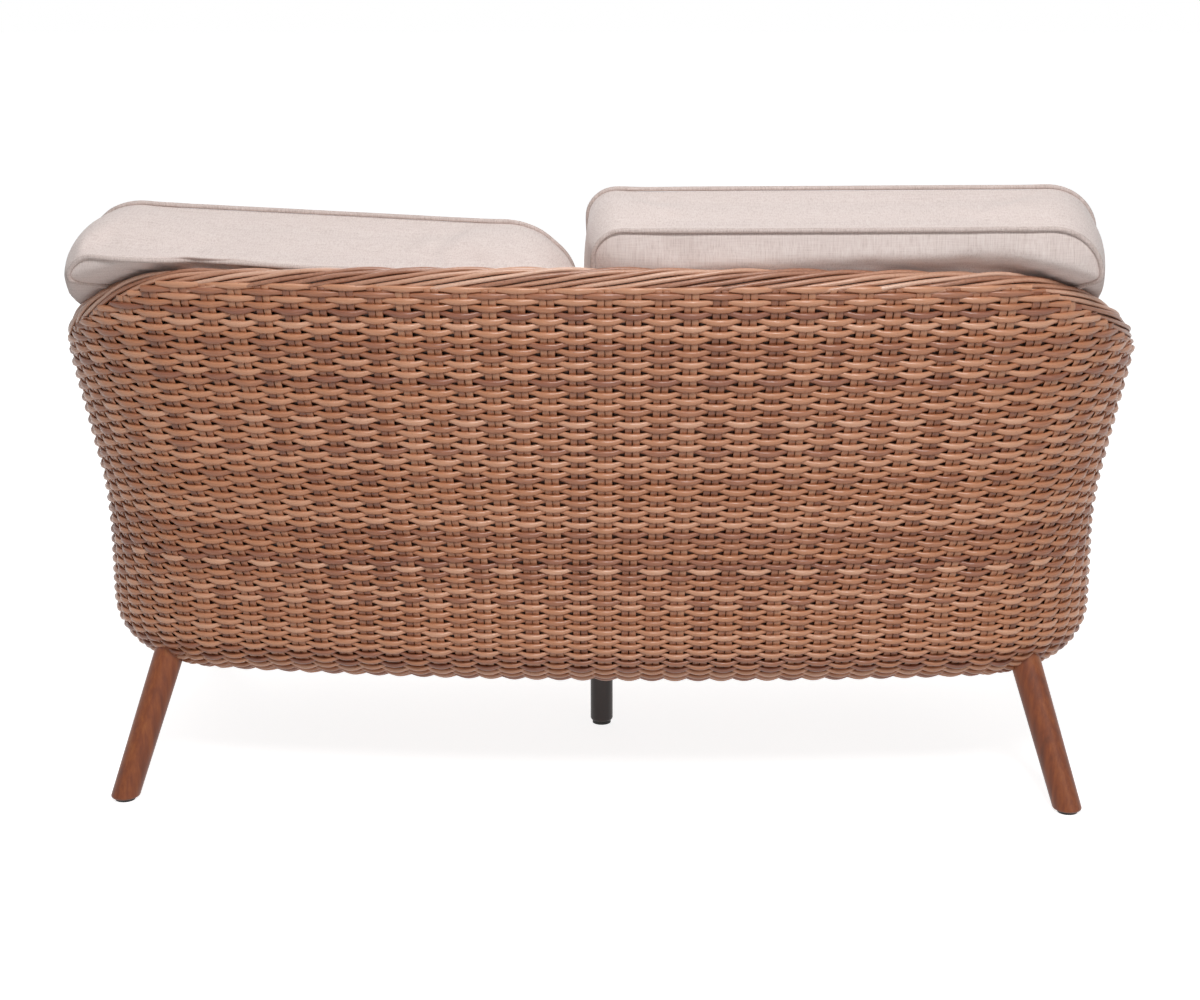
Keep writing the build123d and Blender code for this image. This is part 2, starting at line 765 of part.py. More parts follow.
for piece, label in (
    (top_rail, "top_rail"),
    (base_ring, "base_ring"),
    (seat_rail, "seat_rail"),
    (seat_bars, "seat_bars"),
    (base_bars, "base_bars"),
    (back_posts, "back_posts"),
    (corner_posts, "corner_posts"),
    (arm_posts, "arm_posts"),
    (front_posts, "front_posts"),
    (rim_border_back, "rim_border_back"),
    (rim_border_front, "rim_border_front"),
    (outer_back, "outer_back_weave"),
    (inner_back, "inner_back_weave"),
    (front_apron, "front_apron_weave"),
    (seat_deck, "seat_deck"),
    (centre_leg, "centre_leg"),
    (leg_plates, "leg_plates"),
    (leg_bolts, "leg_bolts"),
    (foot_glides, "foot_glides"),
    (seat_cushion_left, "seat_cushion_left"),
    (seat_cushion_right, "seat_cushion_right"),
    (back_cushion_left, "back_cushion_left"),
    (back_cushion_right, "back_cushion_right"),
):
    save(piece, label)

for piece, label in (
    (rim_border_corner_left, "rim_border_corner"),
    (rim_border_arm_left, "rim_border_arm"),
    (outer_corner_left, "outer_corner_weave"),
    (inner_corner_left, "inner_corner_weave"),
    (outer_arm_left, "outer_arm_weave"),
    (inner_arm_left, "inner_arm_weave"),
    (front_corner_left, "front_corner_weave"),
    (leg_front_left, "leg_front"),
    (leg_rear_left, "leg_rear"),
):
    save(piece, f"{label}_left")
    with BuildPart() as opposite:
        add(piece.part.mirror(Plane.YZ))
    save(opposite, f"{label}_right")
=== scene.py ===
import math
import random

import bpy
import numpy as np
from mathutils import Matrix, Vector
from mathutils.kdtree import KDTree


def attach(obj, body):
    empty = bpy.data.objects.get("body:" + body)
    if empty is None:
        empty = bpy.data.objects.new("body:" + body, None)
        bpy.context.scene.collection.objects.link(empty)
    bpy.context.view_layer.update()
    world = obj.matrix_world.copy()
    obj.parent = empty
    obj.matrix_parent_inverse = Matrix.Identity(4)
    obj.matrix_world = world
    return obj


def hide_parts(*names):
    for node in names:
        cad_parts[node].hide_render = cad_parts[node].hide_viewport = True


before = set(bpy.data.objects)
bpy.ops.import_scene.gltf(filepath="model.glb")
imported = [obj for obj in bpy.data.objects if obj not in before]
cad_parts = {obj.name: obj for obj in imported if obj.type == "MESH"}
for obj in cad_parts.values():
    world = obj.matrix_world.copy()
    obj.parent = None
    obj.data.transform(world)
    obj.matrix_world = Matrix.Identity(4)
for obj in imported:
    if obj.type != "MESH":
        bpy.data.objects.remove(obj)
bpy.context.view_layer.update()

SHELL = "shell"
MM = 0.001

# Sizes of the CAD model in millimetres
HALF_W, BACK_Y, FRONT_Y = 706.0, 350.0, -392.0
BACK_R, FRONT_R = 205.0, 90.0
BOW_A = math.radians(7.8)
BOTTOM, CURL, LEAN_Z = 170.0, 80.0, 400.0
RAIL_BACK, RAIL_SIDE, RAIL_FRONT = 743.0, 610.0, 303.0
FLARE, WALL, DECK_TOP = 46.0, 41.6, 325.0
CORNER_X = HALF_W - BACK_R
BOW_R = CORNER_X / math.sin(BOW_A) + BACK_R
BOW_Y = BACK_Y - BOW_R
CORNER_Y = BOW_Y + (BOW_R - BACK_R) * math.cos(BOW_A)
FRONT_CX, FRONT_CY = HALF_W - FRONT_R, FRONT_Y + FRONT_R
ARM_LEAN = FLARE / (RAIL_SIDE - LEAN_Z)
LEAN_BLEND = 250.0
ARM_BEND, ARM_BACK_SLOPE, ARM_SLOPE = 90.0, 0.29, 0.12
ARM_FRONT_Y, ARM_KNEE_Y, ARM_FOOT_Y = -186.0, -226.0, -250.0
ARM_RADII = [300.0, 105.0, 200.0, 50.0]
CORNER_TURNS, BEND_SHARE = 3, 0.9
SEAT_TOP, SPLIT_X = 456.4, 14.1

# Lengths round half the plan, from the middle of the back to the middle of the front
L_BOW = BOW_R * BOW_A
L_CORNER = L_BOW + BACK_R * (math.pi / 2 - BOW_A)
L_ARM = L_CORNER + CORNER_Y - FRONT_CY
L_TIP = L_ARM + FRONT_R * math.pi / 2
L_HALF = L_TIP + FRONT_CX

# The weave: columns of stakes round the shell, counted from the photo, and its strands.
# Weft strands run over one column and under the next
COLUMNS = 116
PITCH = 2 * L_HALF / COLUMNS
PHASE = 0.45
WEFT_DEPTH, WEFT_LIFT, WEFT_SMILE = 2.9, 3.1, 2.7
STAKE_SHIFT, STAKE_EDGE, STAKE_FLAT, STAKE_THICK = 5.0, 4.7, 3.9, 0.85
# Near-black tone of the strips and core hidden in the weave: painted shade for its gaps
PAINTED_SHADE_TONE = -0.4
# Share by which the columns fan out at a height, and how far apart the weft rows are there
FAN_Z, FAN_SHARE = (170, 300, 480, 650, 765), (-0.055, -0.045, 0.03, 0.07, 0.08)
ROW_Z, ROW_STEP = (170, 335, 448, 560, 743), (6.9, 7.2, 7.8, 8.15, 8.4)
# How far the weave runs over the rail's centre, and by how much that changes on a slope
RIM_OVER, RIM_DROP = 7, 14
# The wound border: strands round a core, and how far a cushion stays from the rail's centre
BORDER_STRANDS, BORDER_TURNS = 12, -8
BORDER_R, BORDER_CORE, BORDER_STRAND = 14.0, 12.0, (3.5, 3.2)
BORDER_CLEAR = 24.5
# The inner face of the wall with the thickness of the strands on it
INNER_FACE = 45.2
# Over the rim a cushion laps 12 mm past the outer face, and then swells further out
RIM_LAP, LAP_START, LAP_RISE, BULGE_RISE = 12, 6, 26, 22
SEAT_FLOOR, SEAT_CEILING, SEAT_FRONT_Y, SEAT_DEPTH = 325.8, 455.2, -388.0, 690.0
PIPING_R = 3.4


# Camera, from the fit to the photograph

def set_camera():
    """Camera behind the loveseat, a little over its rim, as the photo was taken."""
    distance, height, lens_px, photo_px, shift_px = 3200.0, 1205.0, 2207.0, 1200, -1.2
    pitch, yaw, roll = math.radians(14.9), math.radians(2.3), math.radians(-0.13)
    fwd = Vector((math.sin(yaw) * math.cos(pitch), -math.cos(yaw) * math.cos(pitch), -math.sin(pitch)))
    right = fwd.cross(Vector((0, 0, 1))).normalized()
    up = right.cross(fwd)
    side = right * math.cos(roll) + up * math.sin(roll)
    top = up * math.cos(roll) - right * math.sin(roll)
    data = bpy.data.cameras.new("camera")
    data.sensor_width = 36.0
    data.lens = data.sensor_width * lens_px / photo_px
    data.shift_x = shift_px / photo_px
    data.clip_end = 50
    cam = bpy.data.objects.new("camera", data)
    bpy.context.collection.objects.link(cam)
    place = Vector((-distance * math.sin(yaw), distance * math.cos(yaw), height)) * MM
    turn = Matrix((side, top, -fwd)).transposed()
    cam.matrix_world = Matrix.Translation(place) @ turn.to_4x4()
    bpy.context.scene.camera = cam


set_camera()


# Materials

def srgb(text):
    """Linear colour from a sRGB hex string."""
    values = [int(text[i:i + 2], 16) / 255 for i in (1, 3, 5)]
    return [v / 12.92 if v <= 0.04045 else ((v + 0.055) / 1.055) ** 2.4 for v in values] + [1.0]


def add_node(tree, kind, sockets, out=None, stops=(), **settings):
    """Adds a node with its settings, links, values and colour stops, and gives back one of
    its outputs."""
    node = tree.nodes.new(kind)
    for key, value in settings.items():
        setattr(node, key, value)
    for key, value in sockets.items():
        if isinstance(value, bpy.types.NodeSocket):
            tree.links.new(value, node.inputs[key])
        else:
            node.inputs[key].default_value = value
    for number, (place, colour) in enumerate(stops):
        line = node.color_ramp.elements
        stop = line[number] if number < len(line) else line.new(place)
        stop.position, stop.color = place, srgb(colour)
    return node.outputs[out] if out else next(o for o in node.outputs if o.enabled)


def new_material(name):
    """Empty material, its node tree and its surface shader."""
    mat = bpy.data.materials.new(name)
    mat.use_nodes = True
    return mat, mat.node_tree, mat.node_tree.nodes["Principled BSDF"]


def pattern_space(tree, size):
    """Object coordinates in cells of a pattern, each of this size in mm along X, Y and Z."""
    place = add_node(tree, "ShaderNodeTexCoord", {}, "Object")
    scale = [1 / (mm * MM) for mm in size]
    return add_node(tree, "ShaderNodeMapping", {"Vector": place, "Scale": scale})


def mottle(tree, size, detail=2.0, roughness=0.5):
    """Uneven pattern whose blots have this size in mm along X, Y and Z."""
    space = pattern_space(tree, size)
    return add_node(tree, "ShaderNodeTexNoise", {"Vector": space, "Scale": 1.0, "Detail": detail,
                                                 "Roughness": roughness})


# Browns of the resin. The dark end is painted shade between the strands. The light end is the brown of
# the light rows, raised to a pinkish painted highlight as on a strand's crown
STRAND_STOPS = (
    (0.0, "#592B1B"), (0.25, "#8C5239"), (0.5, "#BF8059"), (0.75, "#D69E7C"), (1.0, "#E8BDA2"))
# The near-black first stop is painted shade, given to the dark strips hidden behind the weave
STAKE_STOPS = (
    (0.0, "#200D07"), (0.12, "#60341F"), (0.35, "#955B3C"), (0.6, "#B57B58"), (1.0, "#CC9C7A"))
# The near-black first stop is painted shade, given to the core hidden under the border's strands
BORDER_STOPS = (
    (0.0, "#200D07"), (0.15, "#754431"), (0.4, "#AE795D"), (0.7, "#CF9E82"), (1.0, "#E6BFA8"))


def resin_wicker(name, stops, streak_size):
    """Moulded resin strand: each has its own brown, fine drawn streaks along it, a few dark
    flecks as of cane, and the soft sheen of a plastic that was roughened in the mould."""
    mat, tree, shader = new_material(name)
    tone = add_node(tree, "ShaderNodeAttribute", {}, "Fac", attribute_name="tone")
    # Streaks of a real strand are about 0.3 mm wide. They are drawn coarser to show at all
    streak = mottle(tree, streak_size, 4.0, 0.65)
    middle = add_node(tree, "ShaderNodeMath", {0: streak, 1: 0.5}, operation="SUBTRACT")
    shade = add_node(tree, "ShaderNodeMath", {0: middle, 1: 0.55, 2: tone}, operation="MULTIPLY_ADD")
    colour = add_node(tree, "ShaderNodeValToRGB", {"Fac": shade}, "Color", stops)
    # Weathered patches about a hand wide
    patch = mottle(tree, (110, 110, 110))
    patch = add_node(tree, "ShaderNodeMath", {0: patch, 1: 0.25}, operation="MULTIPLY")
    colour = add_node(tree, "ShaderNodeMix", {0: patch, 6: colour, 7: srgb("#A8745C")}, data_type="RGBA")
    # Flecks 2 mm long, each in a few cells of this noise
    fleck = mottle(tree, (2.4, 2.4, 2.4), 1.0)
    fleck = add_node(tree, "ShaderNodeMapRange", {"Value": fleck, "From Min": 0.68, "From Max": 0.79,
                                                  "To Max": 0.5})
    colour = add_node(tree, "ShaderNodeMix", {0: fleck, 6: colour, 7: srgb("#7E4A36")}, data_type="RGBA")
    tree.links.new(colour, shader.inputs["Base Color"])
    rough = add_node(tree, "ShaderNodeMath", {0: streak, 1: 0.25, 2: 0.2}, operation="MULTIPLY_ADD")
    tree.links.new(rough, shader.inputs["Roughness"])
    shader.inputs["Specular IOR Level"].default_value = 0.6
    grooves = add_node(tree, "ShaderNodeBump", {"Height": streak, "Strength": 0.35, "Distance": 0.0006})
    tree.links.new(grooves, shader.inputs["Normal"])
    return mat


def oiled_wood():
    """Oiled hardwood of the splayed legs: red brown, with grain along the leg and the low,
    even shine of an oil finish."""
    mat, tree, shader = new_material("oiled_hardwood")
    grain = mottle(tree, (6.7, 6.7, 140), 6.0, 0.6)
    band = mottle(tree, (29, 29, 330))
    band = add_node(tree, "ShaderNodeMath", {0: band, 1: 0.4}, operation="MULTIPLY")
    figure = add_node(tree, "ShaderNodeMath", {0: grain, 1: 0.6, 2: band}, operation="MULTIPLY_ADD")
    stops = ((0.3, "#5E2C12"), (0.45, "#7A3A17"), (0.58, "#8D4A20"), (0.72, "#A1602F"))
    colour = add_node(tree, "ShaderNodeValToRGB", {"Fac": figure}, "Color", stops)
    tree.links.new(colour, shader.inputs["Base Color"])
    shader.inputs["Roughness"].default_value = 0.42
    pores = add_node(tree, "ShaderNodeBump", {"Height": grain, "Strength": 0.2, "Distance": 0.0004})
    tree.links.new(pores, shader.inputs["Normal"])
    return mat


def coated(name, colour, dust, rough, metallic=0.0):
    """Even coat, plating or moulding with the faint mottle that breaks up its shine. The
    grain of a coat is about 0.2 mm, drawn 1.1 mm wide to show at all."""
    mat, tree, shader = new_material(name)
    grain = mottle(tree, (1.1, 1.1, 1.1))
    share = add_node(tree, "ShaderNodeMath", {0: grain, 1: 0.35}, operation="MULTIPLY")
    blend = add_node(tree, "ShaderNodeMix", {0: share, 6: srgb(colour), 7: srgb(dust)}, data_type="RGBA")
    tree.links.new(blend, shader.inputs["Base Color"])
    shader.inputs["Roughness"].default_value = rough
    shader.inputs["Metallic"].default_value = metallic
    peel = add_node(tree, "ShaderNodeBump", {"Height": grain, "Strength": 0.3, "Distance": 0.0002})
    tree.links.new(peel, shader.inputs["Normal"])
    return mat


def slub_canvas(name, thick, plain, thin):
    """Pinkish cream outdoor canvas: matt, with fine upright slubs, thick yarns lighter than
    the gaps between them, and a trace of fuzz at the edges. The yarns are 0.5 mm across,
    drawn 1.6 mm to show at all."""
    mat, tree, shader = new_material(name)
    # Slubs run up the standing panels and from front to back on the level ones
    facing = add_node(tree, "ShaderNodeNewGeometry", {}, "Normal")
    facing = add_node(tree, "ShaderNodeSeparateXYZ", {0: facing}, "Z")
    level = add_node(tree, "ShaderNodeMath", {0: facing, 1: 0.6}, operation="GREATER_THAN")
    slub = add_node(tree, "ShaderNodeMix", {0: level, 2: mottle(tree, (1.6, 1.6, 38), 4.0, 0.7),
                                            3: mottle(tree, (1.6, 38, 1.6), 4.0, 0.7)})
    pick = add_node(tree, "ShaderNodeMix", {0: level, 2: mottle(tree, (25, 25, 1.1)),
                                            3: mottle(tree, (25, 1.1, 25))})
    pick = add_node(tree, "ShaderNodeMath", {0: pick, 1: 0.3}, operation="MULTIPLY")
    yarn = add_node(tree, "ShaderNodeMath", {0: slub, 1: 0.7, 2: pick}, operation="MULTIPLY_ADD")
    stops = ((0.3, thin), (0.47, plain), (0.62, thick))
    colour = add_node(tree, "ShaderNodeValToRGB", {"Fac": yarn}, "Color", stops)
    tree.links.new(colour, shader.inputs["Base Color"])
    shader.inputs["Roughness"].default_value = 0.95
    shader.inputs["Specular IOR Level"].default_value = 0.15
    shader.inputs["Sheen Weight"].default_value = 0.25
    shader.inputs["Sheen Roughness"].default_value = 0.5
    ribs = add_node(tree, "ShaderNodeBump", {"Height": yarn, "Strength": 0.45, "Distance": 0.0006})
    tree.links.new(ribs, shader.inputs["Normal"])
    return mat


def woven_deck():
    """Seat panel of flat resin strips, 18 mm wide, woven over and under into small checks."""
    mat, tree, shader = new_material("woven_seat_panel")
    # The third size is so long that the checks don't change through the panel
    checks = {"Vector": pattern_space(tree, (18, 18, 1e6)), "Scale": 1.0, "Color1": srgb("#B98059"),
              "Color2": srgb("#A06A4C")}
    over = add_node(tree, "ShaderNodeTexChecker", checks, "Fac")
    colour = add_node(tree, "ShaderNodeTexChecker", checks, "Color")
    share = mottle(tree, (3.3, 3.3, 3.3), 3.0)
    share = add_node(tree, "ShaderNodeMath", {0: share, 1: 0.4}, operation="MULTIPLY")
    blend = add_node(tree, "ShaderNodeMix", {0: share, 6: colour, 7: srgb("#8A5C48")}, data_type="RGBA")
    tree.links.new(blend, shader.inputs["Base Color"])
    shader.inputs["Roughness"].default_value = 0.55
    strips = add_node(tree, "ShaderNodeBump", {"Height": over, "Strength": 0.6, "Distance": 0.002})
    tree.links.new(strips, shader.inputs["Normal"])
    return mat


def dress(mat, *nodes):
    """Gives the CAD pieces of these nodes one material."""
    for name in nodes:
        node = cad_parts[name]
        node.data.materials.clear()
        node.data.materials.append(mat)


# Strands laid level round the shell: the streaks run level too
weft_mat = resin_wicker("resin_wicker_weft", STRAND_STOPS, (22, 22, 0.7))
# Strips that stand upright, with upright streaks
stake_mat = resin_wicker("resin_wicker_stake", STAKE_STOPS, (0.8, 0.8, 25))
# Strands wound round the rim at a slant, so their streaks are nearly as high as wide
border_mat = resin_wicker("resin_wicker_border", BORDER_STOPS, (3.8, 3.8, 1.9))
# Cover cloth, and the same cloth for the piping, drawn darker: painted shade of the seams
cover_mat = slub_canvas("slub_canvas", "#EFE2DC", "#E4D4CE", "#CDBCB5")
piping_mat = slub_canvas("piping_painted_seam_shade", "#E0D1CB", "#D0BFB8", "#AF9D95")

dress(oiled_wood(), "leg_front_left", "leg_front_right", "leg_rear_left", "leg_rear_right")
# Nearly black colour on the middle leg: painted shade of the seat above it, so that it drops out of
# sight under the seat
dress(coated("centre_leg_painted_shade", "#2A1712", "#1A0F0B", 0.4), "centre_leg")
# Brown powder coat of the welded tubes, satin
dress(coated("brown_powder_coat", "#4A3020", "#2A2320", 0.5), "top_rail", "base_ring", "seat_rail",
      "seat_bars", "base_bars", "back_posts", "corner_posts", "arm_posts", "front_posts", "leg_plates")
# Zinc plating of the bolts, a dull grey metal
dress(coated("zinc_plating", "#B5B3AE", "#8C8A86", 0.35, 1.0), "leg_bolts")
# Black moulded plastic of the glides
dress(coated("moulded_plastic", "#15120F", "#2A2724", 0.55), "foot_glides")
dress(woven_deck(), "seat_deck")


# Shell surface

def rail_height(angle):
    """Height of the top rail at an angle round the back: it falls through the corners."""
    share = (np.cos(angle) + np.cos(angle) ** 2) / (math.cos(BOW_A) + math.cos(BOW_A) ** 2)
    return RAIL_SIDE + (RAIL_BACK - RAIL_SIDE) * share


def plan(s):
    """Outer face point, outward direction and lean of the wall at a length round the plan."""
    side, a = np.where(s < 0, -1.0, 1.0), np.abs(s)
    turn = np.clip(np.where(a < L_BOW, a / BOW_R, BOW_A + (a - L_BOW) / BACK_R), 0, math.pi / 2)
    tip = np.clip((a - L_ARM) / FRONT_R, 0, math.pi / 2)
    x = np.where(a < L_BOW, BOW_R * np.sin(turn), CORNER_X + BACK_R * np.sin(turn))
    y = np.where(a < L_BOW, BOW_Y + BOW_R * np.cos(turn), CORNER_Y + BACK_R * np.cos(turn))
    x = np.where(a > L_ARM, FRONT_CX + FRONT_R * np.cos(tip), x)
    y = np.where(a > L_CORNER, CORNER_Y - (a - L_CORNER), y)
    y = np.where(a > L_ARM, FRONT_CY - FRONT_R * np.sin(tip), y)
    x = np.where(a > L_TIP, FRONT_CX - (a - L_TIP), x)
    nx, ny = np.sin(turn + tip), np.cos(turn + tip)
    rail = np.where(a < L_BOW, RAIL_BACK, rail_height(turn))
    return x * side, y, nx * side, ny, FLARE / (rail - LEAN_Z)


def surface(s, v, out):
    """Point of the wall, out millimetres in front of its outer face. v runs up the wall from
    the edge of the curl under the bottom."""
    x, y, nx, ny, lean = plan(s)
    arc = CURL * math.pi / 2
    theta = np.clip(v / CURL - math.pi / 2, -math.pi / 2, 0)
    z = np.where(v < arc, BOTTOM + CURL + CURL * np.sin(theta), BOTTOM + CURL + v - arc)
    blend = LEAN_BLEND * lean
    rise = z - LEAN_Z
    start = rise + blend
    step = np.where(rise > blend, lean * rise, np.where(start < 0, 0, lean * start ** 2 / (4 * blend)))
    slope = np.where(rise > blend, lean, np.where(start < 0, 0, lean * start / (2 * blend)))
    level, tilt = np.cos(theta), np.sin(theta)
    norm = np.sqrt(1 + slope ** 2)
    level, tilt = np.where(v < arc, level, 1 / norm), np.where(v < arc, tilt, -slope / norm)
    away = np.where(v < arc, CURL * np.cos(theta) - CURL, 0) + step + out * level
    return np.stack([x + nx * away, y + ny * away, z + out * tilt], -1)


def fillet_loop(points, radii, step=6.0):
    """Closed path through bends of these radii, as evenly spaced points."""
    path = []
    count = len(points)
    for i in range(count):
        before, here, after = (np.array(points[j % count], float) for j in (i - 1, i, i + 1))
        a, b = here - before, after - here
        a, b = a / np.linalg.norm(a), b / np.linalg.norm(b)
        turn = math.acos(np.clip(a @ b, -1, 1))
        reach = radii[i] * math.tan(turn / 2)
        inward = b - a
        inward /= np.linalg.norm(inward)
        centre = here + inward * radii[i] / math.cos(turn / 2)
        start = here - a * reach - centre
        axis = np.cross(a, b)
        axis /= np.linalg.norm(axis)
        for k in range(17):
            t = turn * k / 16
            path.append(centre + start * math.cos(t) + np.cross(axis, start) * math.sin(t))
    path = np.array(path + [path[0]])
    length = np.concatenate([[0], np.cumsum(np.linalg.norm(np.diff(path, axis=0), axis=1))])
    n = int(length[-1] / step)
    at = np.linspace(0, length[-1], n, endpoint=False)
    return np.stack([np.interp(at, length, path[:, k]) for k in range(3)], -1)


def rail_corners():
    """Corners and bends of the top rail on the left, from the bow to the seat front."""
    inset = WALL / 2
    turn, bow = BACK_R + FLARE - inset, BOW_R + FLARE - inset
    step = (math.pi / 2 - BOW_A) / CORNER_TURNS
    out = turn / math.cos(step / 2)
    points, radii = [(bow * math.tan(BOW_A / 2), BOW_Y + bow, RAIL_BACK)], [bow * BEND_SHARE]
    for i in range(CORNER_TURNS):
        angle = BOW_A + step * (i + 0.5)
        points.append((CORNER_X + out * math.sin(angle), CORNER_Y + out * math.cos(angle),
                       float(rail_height(angle))))
        radii.append(turn * BEND_SHARE)
    arm_z = RAIL_SIDE - ARM_BACK_SLOPE * ARM_BEND
    front_z = arm_z - ARM_SLOPE * (CORNER_Y - ARM_BEND - ARM_FRONT_Y)
    side = HALF_W - inset
    points += [(side + ARM_LEAN * (arm_z - LEAN_Z), CORNER_Y - ARM_BEND, arm_z),
               (side + ARM_LEAN * (front_z - LEAN_Z), ARM_FRONT_Y, front_z),
               (side, ARM_KNEE_Y, LEAN_Z), (side, ARM_FOOT_Y, RAIL_FRONT),
               (side, FRONT_Y + inset, RAIL_FRONT)]
    return points, radii + ARM_RADII + [FRONT_R - inset]


LEFT, RADII = rail_corners()
RAIL = fillet_loop(LEFT + [(-x, y, z) for x, y, z in reversed(LEFT)], RADII + RADII[::-1])
RAIL_TREE = KDTree(len(RAIL))
for number, point in enumerate(RAIL):
    RAIL_TREE.insert(point, number)
RAIL_TREE.balance()
# The stretch of the rail along the left arm, from front to back
ARM_RAIL = RAIL[(RAIL[:, 0] > 600) & (RAIL[:, 1] < CORNER_Y) & (RAIL[:, 1] > -290)]
ARM_RAIL = ARM_RAIL[np.argsort(ARM_RAIL[:, 1])]


def rim_at(s):
    """Height of the top rail's centre at a length round the plan."""
    a = np.abs(s)
    turn = np.clip(np.where(a < L_BOW, a / BOW_R, BOW_A + (a - L_BOW) / BACK_R), 0, math.pi / 2)
    top = np.where(a < L_BOW, RAIL_BACK, rail_height(turn))
    arm = np.interp(CORNER_Y - (a - L_CORNER), ARM_RAIL[:, 1], ARM_RAIL[:, 2])
    return np.where(a > L_ARM, RAIL_FRONT, np.where(a > L_CORNER, arm, top))


def rim_cut(s):
    """How far over the rail's centre the weave runs: less where the rim slopes, and further
    again where it drops to the seat front."""
    slope = np.abs(rim_at(s + 4) - rim_at(s - 4)) / 8
    return RIM_OVER - RIM_DROP * np.clip(2 * slope, 0, 1) + RIM_DROP * np.clip(slope - 0.7, 0, 1)


def v_of(z):
    """Length up the wall at a height on its upright part."""
    return CURL * math.pi / 2 + z - BOTTOM - CURL


def column_s(c, z):
    """Length round the plan of a column. The columns fan out upwards across the back."""
    a = (c + PHASE) * PITCH
    fan = np.interp(z, FAN_Z, FAN_SHARE)
    t = np.clip((np.abs(a) - 450) / 1050, 0, 1)
    return a * (1 + fan * (1 - t * t * (3 - 2 * t)))


def build_rows():
    """Heights of the weft rows up the wall, closer together low down."""
    rows, v = [], 3.5
    while v < v_of(RAIL_BACK):
        rows.append(v)
        z = max(v - v_of(0), BOTTOM)
        v += np.interp(z, ROW_Z, ROW_STEP)
    return np.array(rows)


ROWS = build_rows()
ROW_PITCH = np.gradient(ROWS)
# Dark, middle and light rows, because each coil of resin came out in its own brown
tone_rng = random.Random(11)
ROW_TONE = []
for _ in ROWS:
    pick = tone_rng.random()
    ROW_TONE.append(tone_rng.uniform(0.28, 0.42) if pick < 0.2
                    else tone_rng.uniform(0.46, 0.66) if pick < 0.85
                    else tone_rng.uniform(0.66, 0.8))
ROW_SHIFT = np.array([tone_rng.uniform(-0.35, 0.35) for _ in ROWS])


def tube_mesh(name, runs, mat, smooth=True):
    """One mesh of closed tubes. Each run is rings (n, k, 3) in millimetres and a tone."""
    verts, quads, tones, base = [], [], [], 0
    for rings, tone in runs:
        n, k = rings.shape[:2]
        rings = np.concatenate([rings, rings[:1], rings[-1:]])
        centre = rings.mean(1)
        face = rings[1, 0] - rings[0, 0], rings[0, 1] - rings[0, 0]
        flip = np.cross(*face) @ (rings[0, 0] - centre[0]) < 0
        i, j = np.meshgrid(np.arange(n - 1), np.arange(k), indexing="ij")
        i, j = i.ravel(), j.ravel()
        right = (j + 1) % k
        quad = np.stack([i * k + j, (i + 1) * k + j, (i + 1) * k + right, i * k + right], -1)
        caps = [[0, 1, 2, 3]] if k == 4 else [[0, 1, 2, 3], [0, 3, 4, 5]] if k == 6 else \
            [[0, 1, 2, 3], [0, 3, 4, 7], [4, 5, 6, 7]]
        caps = np.array(caps)
        quad = np.concatenate([quad, caps + n * k, caps[:, ::-1] + (n + 1) * k])
        if flip:
            quad = quad[:, ::-1]
        verts.append(rings.reshape(-1, 3))
        quads.append(quad + base)
        tones.append(np.full((n + 2) * k, tone))
        base += (n + 2) * k
    verts, quads, tones = np.concatenate(verts) * MM, np.concatenate(quads), np.concatenate(tones)
    mesh = bpy.data.meshes.new(name)
    mesh.vertices.add(len(verts))
    mesh.vertices.foreach_set("co", verts.ravel().astype(np.float32))
    mesh.loops.add(quads.size)
    mesh.loops.foreach_set("vertex_index", quads.ravel().astype(np.int32))
    mesh.polygons.add(len(quads))
    mesh.polygons.foreach_set("loop_start", np.arange(0, quads.size, 4, dtype=np.int32))
    mesh.update(calc_edges=True)
    mesh.polygons.foreach_set("use_smooth", np.full(len(quads), smooth))
    layer = mesh.attributes.new("tone", "FLOAT", "POINT")
    layer.data.foreach_set("value", tones.astype(np.float32))
    mesh.materials.append(mat)
    piece = bpy.data.objects.new(name, mesh)
    bpy.context.collection.objects.link(piece)
    return piece


def plump(value):
    """Swells a circle towards a rounded square, the section of a strand."""
    return math.copysign(abs(value) ** 0.85, value)


def split_runs(mask):
    """Start and end of each stretch where the mask holds."""
    edges = np.flatnonzero(np.diff(np.concatenate([[0], mask.astype(int), [0]])))
    return list(zip(edges[::2], edges[1::2]))


def weft_runs(c0, c1, face, sides, inner, parts, low):
    """Weft strands between two columns. face is the middle of the weave, behind the outer face."""
    runs = []
    n = int(round((c1 - c0) * parts)) + 1
    c = np.linspace(c0, c1, n)
    way = -1.0 if inner else 1.0
    theta = np.arange(sides) * 2 * math.pi / sides + 0.3
    for row, v in enumerate(ROWS):
        z_row = max(v - v_of(0), BOTTOM)
        if z_row < low:
            continue
        s = column_s(c, z_row)
        over = np.cos(math.pi * (c + row))
        top = rim_at(s)
        near_top = np.clip((v - v_of(top - 38)) / 20, 0, 1)
        away = np.arccos(np.clip(over, -1, 1)) / math.pi
        wave = 0.7 * np.sin(s * 0.011 + row * 1.7) + ROW_SHIFT[row]
        narrow = np.where(away < 0.72, 0.495 + 0.055 * np.cos(math.pi * away / 0.72),
                          0.48 - 0.04 * np.cos(math.pi * (away - 0.72) / 0.28))
        tall = ROW_PITCH[row] * narrow
        deep = WEFT_DEPTH + 0.6 * over
        lift = WEFT_LIFT * over * (1 - 0.35 * near_top)
        bend = np.clip((away - 0.22) / 0.48, 0, 1)
        level = v + wave + (WEFT_SMILE * bend ** 2 * (3 - 2 * bend) - 1.1) * (1 - near_top)
        rings = np.stack([surface(s, level + tall * plump(math.sin(t)),
                                  -face + way * (lift + deep * plump(math.cos(t)))) for t in theta], 1)
        for a, b in split_runs(z_row < top + rim_cut(s)):
            if b - a > 2:
                runs.append((rings[a:b], ROW_TONE[row] + 0.04 * math.sin(row * 2.3)))
    return runs


